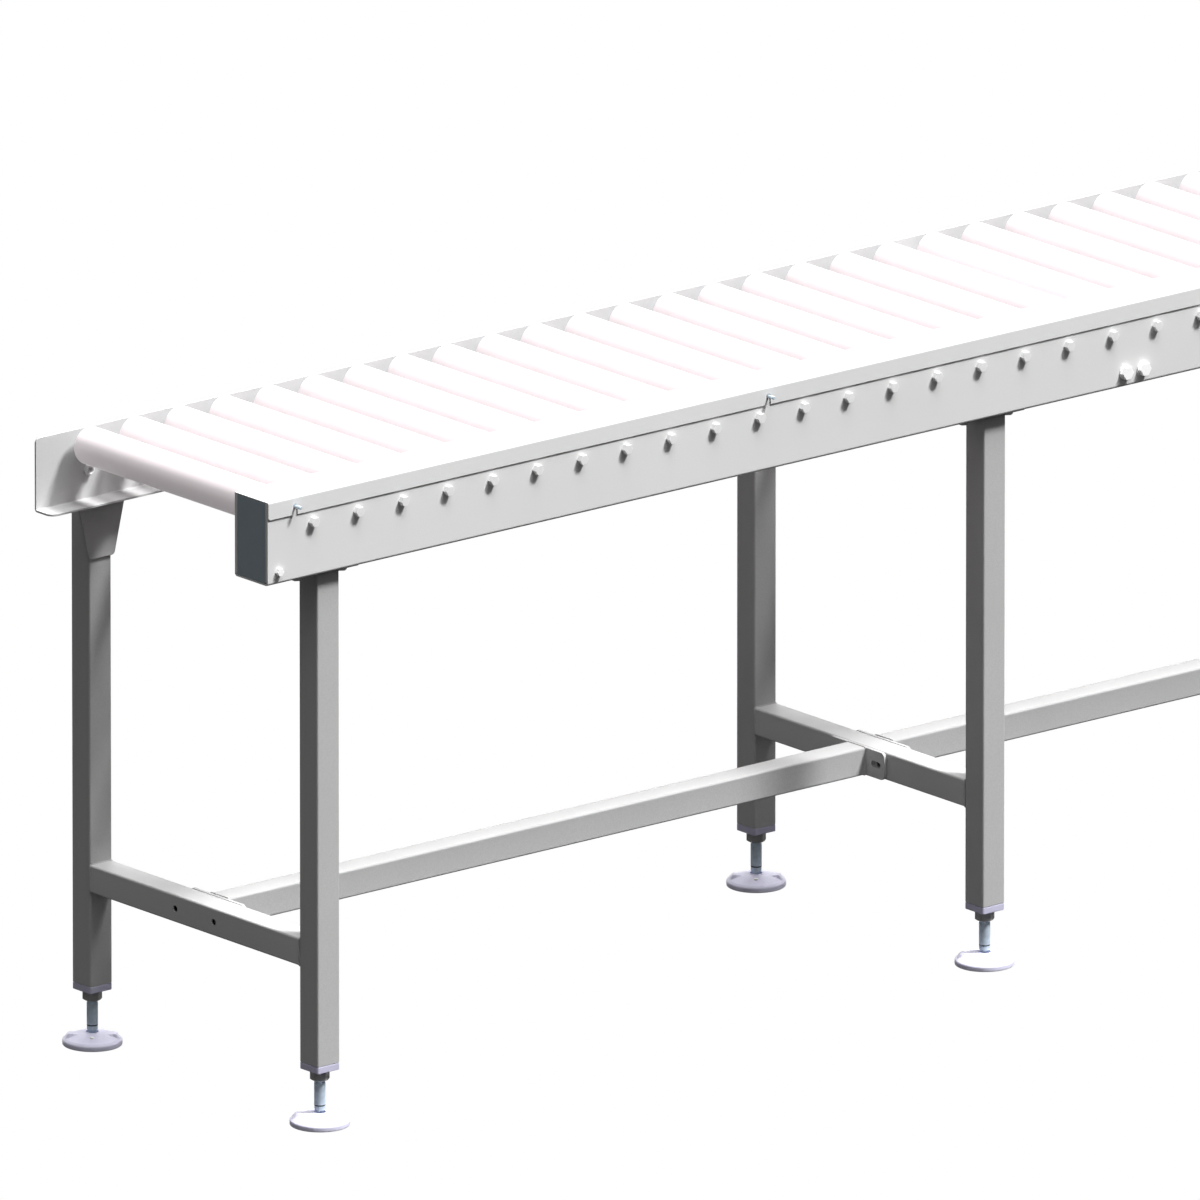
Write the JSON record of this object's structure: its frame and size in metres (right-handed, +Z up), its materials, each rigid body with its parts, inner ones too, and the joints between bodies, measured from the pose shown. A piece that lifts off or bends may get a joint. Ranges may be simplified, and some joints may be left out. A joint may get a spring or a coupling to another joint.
{
  "type": "gravity roller conveyor",
  "caption": "Straight gravity roller conveyor: free-running rollers between a covered side box and an open side rail, on welded leg frames with floor braces and adjustable swivel feet.",
  "frame": {"origin": "on the floor under the middle of the conveyor's bounding box", "axes": "+X along the conveyor from infeed to outfeed, +Y across it from the covered side box to the open rail, +Z up"},
  "size_m": [2.64, 0.588, 0.924],
  "materials": {
    "painted_sheet": "fine light grey powder coat, satin",
    "painted_tube": "fine light grey powder coat on square tube, satin",
    "roller_plastic": "white plastic sleeve, satin",
    "cap_plastic": "dark blue-grey moulded plastic, matt",
    "insert_plastic": "lavender-grey moulded plastic",
    "zinc_steel": "blue zinc-plated steel",
    "pad_plastic": "pale lavender moulded plastic, satin"
  },
  "bodies": {
    "frame": {"near_side_channel": "painted_sheet", "end_cap_infeed": "cap_plastic", "end_cap_outfeed": "cap_plastic", "far_side_rail": "painted_sheet", "leg_frame_1": "painted_tube", "leg_frame_2": "painted_tube", "leg_frame_3": "painted_tube", "floor_brace_1": "painted_tube", "floor_brace_2": "painted_tube", "foot_insert_1_near": "insert_plastic", "foot_insert_1_far": "insert_plastic", "foot_insert_2_near": "insert_plastic", "foot_insert_2_far": "insert_plastic", "foot_insert_3_near": "insert_plastic", "foot_insert_3_far": "insert_plastic"},
    "side_cover": {"side_cover": "painted_sheet"},
    "roller_01": {"roller_01": "roller_plastic"},
    "roller_02": {"roller_02": "roller_plastic"},
    "roller_03": {"roller_03": "roller_plastic"},
    "roller_04": {"roller_04": "roller_plastic"},
    "roller_05": {"roller_05": "roller_plastic"},
    "roller_06": {"roller_06": "roller_plastic"},
    "roller_07": {"roller_07": "roller_plastic"},
    "roller_08": {"roller_08": "roller_plastic"},
    "roller_09": {"roller_09": "roller_plastic"},
    "roller_10": {"roller_10": "roller_plastic"},
    "roller_11": {"roller_11": "roller_plastic"},
    "roller_12": {"roller_12": "roller_plastic"},
    "roller_13": {"roller_13": "roller_plastic"},
    "roller_14": {"roller_14": "roller_plastic"},
    "roller_15": {"roller_15": "roller_plastic"},
    "roller_16": {"roller_16": "roller_plastic"},
    "roller_17": {"roller_17": "roller_plastic"},
    "roller_18": {"roller_18": "roller_plastic"},
    "roller_19": {"roller_19": "roller_plastic"},
    "roller_20": {"roller_20": "roller_plastic"},
    "roller_21": {"roller_21": "roller_plastic"},
    "roller_22": {"roller_22": "roller_plastic"},
    "roller_23": {"roller_23": "roller_plastic"},
    "roller_24": {"roller_24": "roller_plastic"},
    "roller_25": {"roller_25": "roller_plastic"},
    "roller_26": {"roller_26": "roller_plastic"},
    "roller_27": {"roller_27": "roller_plastic"},
    "roller_28": {"roller_28": "roller_plastic"},
    "roller_29": {"roller_29": "roller_plastic"},
    "roller_30": {"roller_30": "roller_plastic"},
    "roller_31": {"roller_31": "roller_plastic"},
    "roller_32": {"roller_32": "roller_plastic"},
    "foot_spindle_1_near": {"foot_spindle_1_near": "zinc_steel"},
    "foot_pad_1_near": {"foot_pad_1_near": "pad_plastic"},
    "foot_spindle_1_far": {"foot_spindle_1_far": "zinc_steel"},
    "foot_pad_1_far": {"foot_pad_1_far": "pad_plastic"},
    "foot_spindle_2_near": {"foot_spindle_2_near": "zinc_steel"},
    "foot_pad_2_near": {"foot_pad_2_near": "pad_plastic"},
    "foot_spindle_2_far": {"foot_spindle_2_far": "zinc_steel"},
    "foot_pad_2_far": {"foot_pad_2_far": "pad_plastic"},
    "foot_spindle_3_near": {"foot_spindle_3_near": "zinc_steel"},
    "foot_pad_3_near": {"foot_pad_3_near": "pad_plastic"},
    "foot_spindle_3_far": {"foot_spindle_3_far": "zinc_steel"},
    "foot_pad_3_far": {"foot_pad_3_far": "pad_plastic"}
  },
  "joints": [
    {"name": "cover_lift", "type": "slide", "parent": "frame", "child": "side_cover", "axis": [0, 0, 1], "range_m": [0, 0.06]},
    {"name": "roller_01_spin", "type": "hinge", "parent": "frame", "child": "roller_01", "pos_m": [-1.24, -0.0285, 0.883], "axis": [0, 1, 0], "continuous": true},
    {"name": "roller_02_spin", "type": "hinge", "parent": "frame", "child": "roller_02", "pos_m": [-1.16, -0.0285, 0.883], "axis": [0, 1, 0], "continuous": true},
    {"name": "roller_03_spin", "type": "hinge", "parent": "frame", "child": "roller_03", "pos_m": [-1.08, -0.0285, 0.883], "axis": [0, 1, 0], "continuous": true},
    {"name": "roller_04_spin", "type": "hinge", "parent": "frame", "child": "roller_04", "pos_m": [-1, -0.0285, 0.883], "axis": [0, 1, 0], "continuous": true},
    {"name": "roller_05_spin", "type": "hinge", "parent": "frame", "child": "roller_05", "pos_m": [-0.92, -0.0285, 0.883], "axis": [0, 1, 0], "continuous": true},
    {"name": "roller_06_spin", "type": "hinge", "parent": "frame", "child": "roller_06", "pos_m": [-0.84, -0.0285, 0.883], "axis": [0, 1, 0], "continuous": true},
    {"name": "roller_07_spin", "type": "hinge", "parent": "frame", "child": "roller_07", "pos_m": [-0.76, -0.0285, 0.883], "axis": [0, 1, 0], "continuous": true},
    {"name": "roller_08_spin", "type": "hinge", "parent": "frame", "child": "roller_08", "pos_m": [-0.68, -0.0285, 0.883], "axis": [0, 1, 0], "continuous": true},
    {"name": "roller_09_spin", "type": "hinge", "parent": "frame", "child": "roller_09", "pos_m": [-0.6, -0.0285, 0.883], "axis": [0, 1, 0], "continuous": true},
    {"name": "roller_10_spin", "type": "hinge", "parent": "frame", "child": "roller_10", "pos_m": [-0.52, -0.0285, 0.883], "axis": [0, 1, 0], "continuous": true},
    {"name": "roller_11_spin", "type": "hinge", "parent": "frame", "child": "roller_11", "pos_m": [-0.44, -0.0285, 0.883], "axis": [0, 1, 0], "continuous": true},
    {"name": "roller_12_spin", "type": "hinge", "parent": "frame", "child": "roller_12", "pos_m": [-0.36, -0.0285, 0.883], "axis": [0, 1, 0], "continuous": true},
    {"name": "roller_13_spin", "type": "hinge", "parent": "frame", "child": "roller_13", "pos_m": [-0.28, -0.0285, 0.883], "axis": [0, 1, 0], "continuous": true},
    {"name": "roller_14_spin", "type": "hinge", "parent": "frame", "child": "roller_14", "pos_m": [-0.2, -0.0285, 0.883], "axis": [0, 1, 0], "continuous": true},
    {"name": "roller_15_spin", "type": "hinge", "parent": "frame", "child": "roller_15", "pos_m": [-0.12, -0.0285, 0.883], "axis": [0, 1, 0], "continuous": true},
    {"name": "roller_16_spin", "type": "hinge", "parent": "frame", "child": "roller_16", "pos_m": [-0.04, -0.0285, 0.883], "axis": [0, 1, 0], "continuous": true},
    {"name": "roller_17_spin", "type": "hinge", "parent": "frame", "child": "roller_17", "pos_m": [0.04, -0.0285, 0.883], "axis": [0, 1, 0], "continuous": true},
    {"name": "roller_18_spin", "type": "hinge", "parent": "frame", "child": "roller_18", "pos_m": [0.12, -0.0285, 0.883], "axis": [0, 1, 0], "continuous": true},
    {"name": "roller_19_spin", "type": "hinge", "parent": "frame", "child": "roller_19", "pos_m": [0.2, -0.0285, 0.883], "axis": [0, 1, 0], "continuous": true},
    {"name": "roller_20_spin", "type": "hinge", "parent": "frame", "child": "roller_20", "pos_m": [0.28, -0.0285, 0.883], "axis": [0, 1, 0], "continuous": true},
    {"name": "roller_21_spin", "type": "hinge", "parent": "frame", "child": "roller_21", "pos_m": [0.36, -0.0285, 0.883], "axis": [0, 1, 0], "continuous": true},
    {"name": "roller_22_spin", "type": "hinge", "parent": "frame", "child": "roller_22", "pos_m": [0.44, -0.0285, 0.883], "axis": [0, 1, 0], "continuous": true},
    {"name": "roller_23_spin", "type": "hinge", "parent": "frame", "child": "roller_23", "pos_m": [0.52, -0.0285, 0.883], "axis": [0, 1, 0], "continuous": true},
    {"name": "roller_24_spin", "type": "hinge", "parent": "frame", "child": "roller_24", "pos_m": [0.6, -0.0285, 0.883], "axis": [0, 1, 0], "continuous": true},
    {"name": "roller_25_spin", "type": "hinge", "parent": "frame", "child": "roller_25", "pos_m": [0.68, -0.0285, 0.883], "axis": [0, 1, 0], "continuous": true},
    {"name": "roller_26_spin", "type": "hinge", "parent": "frame", "child": "roller_26", "pos_m": [0.76, -0.0285, 0.883], "axis": [0, 1, 0], "continuous": true},
    {"name": "roller_27_spin", "type": "hinge", "parent": "frame", "child": "roller_27", "pos_m": [0.84, -0.0285, 0.883], "axis": [0, 1, 0], "continuous": true},
    {"name": "roller_28_spin", "type": "hinge", "parent": "frame", "child": "roller_28", "pos_m": [0.92, -0.0285, 0.883], "axis": [0, 1, 0], "continuous": true},
    {"name": "roller_29_spin", "type": "hinge", "parent": "frame", "child": "roller_29", "pos_m": [1, -0.0285, 0.883], "axis": [0, 1, 0], "continuous": true},
    {"name": "roller_30_spin", "type": "hinge", "parent": "frame", "child": "roller_30", "pos_m": [1.08, -0.0285, 0.883], "axis": [0, 1, 0], "continuous": true},
    {"name": "roller_31_spin", "type": "hinge", "parent": "frame", "child": "roller_31", "pos_m": [1.16, -0.0285, 0.883], "axis": [0, 1, 0], "continuous": true},
    {"name": "roller_32_spin", "type": "hinge", "parent": "frame", "child": "roller_32", "pos_m": [1.24, -0.0285, 0.883], "axis": [0, 1, 0], "continuous": true},
    {"name": "foot_1_near_height", "type": "slide", "parent": "frame", "child": "foot_spindle_1_near", "axis": [0, 0, -1], "range_m": [-0.03, 0.03]},
    {"name": "foot_1_near_tilt", "type": "hinge", "parent": "foot_spindle_1_near", "child": "foot_pad_1_near", "pos_m": [-1.2, -0.245, 0.0135], "axis": [0, 1, 0], "range_deg": [-10, 10]},
    {"name": "foot_1_far_height", "type": "slide", "parent": "frame", "child": "foot_spindle_1_far", "axis": [0, 0, -1], "range_m": [-0.03, 0.03]},
    {"name": "foot_1_far_tilt", "type": "hinge", "parent": "foot_spindle_1_far", "child": "foot_pad_1_far", "pos_m": [-1.2, 0.252, 0.0135], "axis": [0, 1, 0], "range_deg": [-10, 10]},
    {"name": "foot_2_near_height", "type": "slide", "parent": "frame", "child": "foot_spindle_2_near", "axis": [0, 0, -1], "range_m": [-0.03, 0.03]},
    {"name": "foot_2_near_tilt", "type": "hinge", "parent": "foot_spindle_2_near", "child": "foot_pad_2_near", "pos_m": [0, -0.245, 0.0135], "axis": [0, 1, 0], "range_deg": [-10, 10]},
    {"name": "foot_2_far_height", "type": "slide", "parent": "frame", "child": "foot_spindle_2_far", "axis": [0, 0, -1], "range_m": [-0.03, 0.03]},
    {"name": "foot_2_far_tilt", "type": "hinge", "parent": "foot_spindle_2_far", "child": "foot_pad_2_far", "pos_m": [0, 0.252, 0.0135], "axis": [0, 1, 0], "range_deg": [-10, 10]},
    {"name": "foot_3_near_height", "type": "slide", "parent": "frame", "child": "foot_spindle_3_near", "axis": [0, 0, -1], "range_m": [-0.03, 0.03]},
    {"name": "foot_3_near_tilt", "type": "hinge", "parent": "foot_spindle_3_near", "child": "foot_pad_3_near", "pos_m": [1.2, -0.245, 0.0135], "axis": [0, 1, 0], "range_deg": [-10, 10]},
    {"name": "foot_3_far_height", "type": "slide", "parent": "frame", "child": "foot_spindle_3_far", "axis": [0, 0, -1], "range_m": [-0.03, 0.03]},
    {"name": "foot_3_far_tilt", "type": "hinge", "parent": "foot_spindle_3_far", "child": "foot_pad_3_far", "pos_m": [1.2, 0.252, 0.0135], "axis": [0, 1, 0], "range_deg": [-10, 10]}
  ]
}
